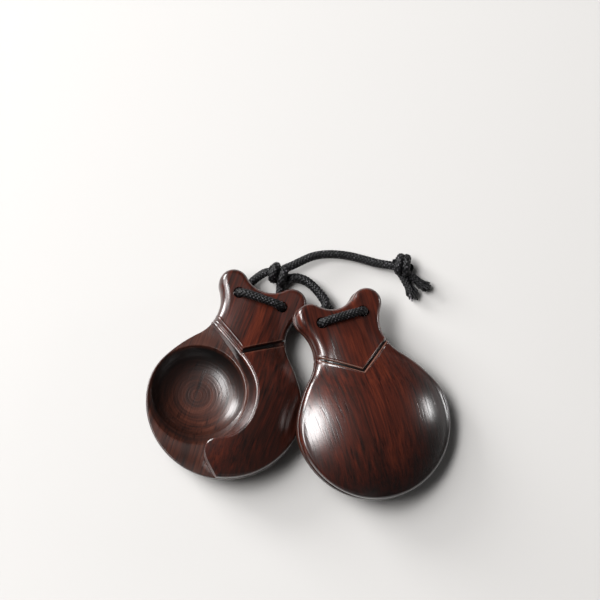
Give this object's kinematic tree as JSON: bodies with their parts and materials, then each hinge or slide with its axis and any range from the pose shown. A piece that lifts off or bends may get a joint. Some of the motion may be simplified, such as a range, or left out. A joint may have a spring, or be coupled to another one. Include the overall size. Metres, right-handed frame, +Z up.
{
  "type": "castanets",
  "caption": "Pair of rosewood castanets tied by one black braided cord, one with its front shell cut away over an off-centre bowl.",
  "frame": {"origin": "on the surface the pair lies on, under the middle of the box of the four shells", "axes": "+Z up from the surface, +Y towards the ears and the knot, +X from the left castanet to the right one"},
  "size_m": [0.1284, 0.1087, 0.0293],
  "materials": {
    "rosewood": "polished",
    "rosewood_inside": "oiled",
    "cord": "waxed braid"
  },
  "bodies": {
    "tie": {"main_knot": "cord", "tail": "cord", "end_knot": "cord", "frayed_ends": "cord"},
    "left_front": {"left_front_shell": "rosewood", "left_lace": "cord"},
    "left_back": {"left_back_shell": "rosewood_inside"},
    "right_back": {"right_back_shell": "rosewood_inside", "right_loop": "cord"},
    "right_front": {"right_front_shell": "rosewood", "right_lace": "cord"}
  },
  "joints": [
    {"name": "left_castanet_swing", "type": "hinge", "parent": "tie", "child": "left_front", "pos_m": [-0.00887, 0.04845, 0.0052], "axis": [0, 0, -1], "range_deg": [0, 20]},
    {"name": "right_castanet_swing", "type": "hinge", "parent": "tie", "child": "right_back", "pos_m": [-0.00887, 0.04845, 0.0052], "axis": [0, 0, 1], "range_deg": [0, 10]},
    {"name": "left_shell_hinge", "type": "hinge", "parent": "left_front", "child": "left_back", "pos_m": [-0.01735, 0.03504, 0.0109], "axis": [0.9528, -0.3004, -0.0436], "range_deg": [0, 12]},
    {"name": "right_shell_hinge", "type": "hinge", "parent": "right_back", "child": "right_front", "pos_m": [0.01625, 0.02712, 0.01801], "axis": [-0.91, -0.3366, 0.2419], "range_deg": [0, 12]}
  ]
}
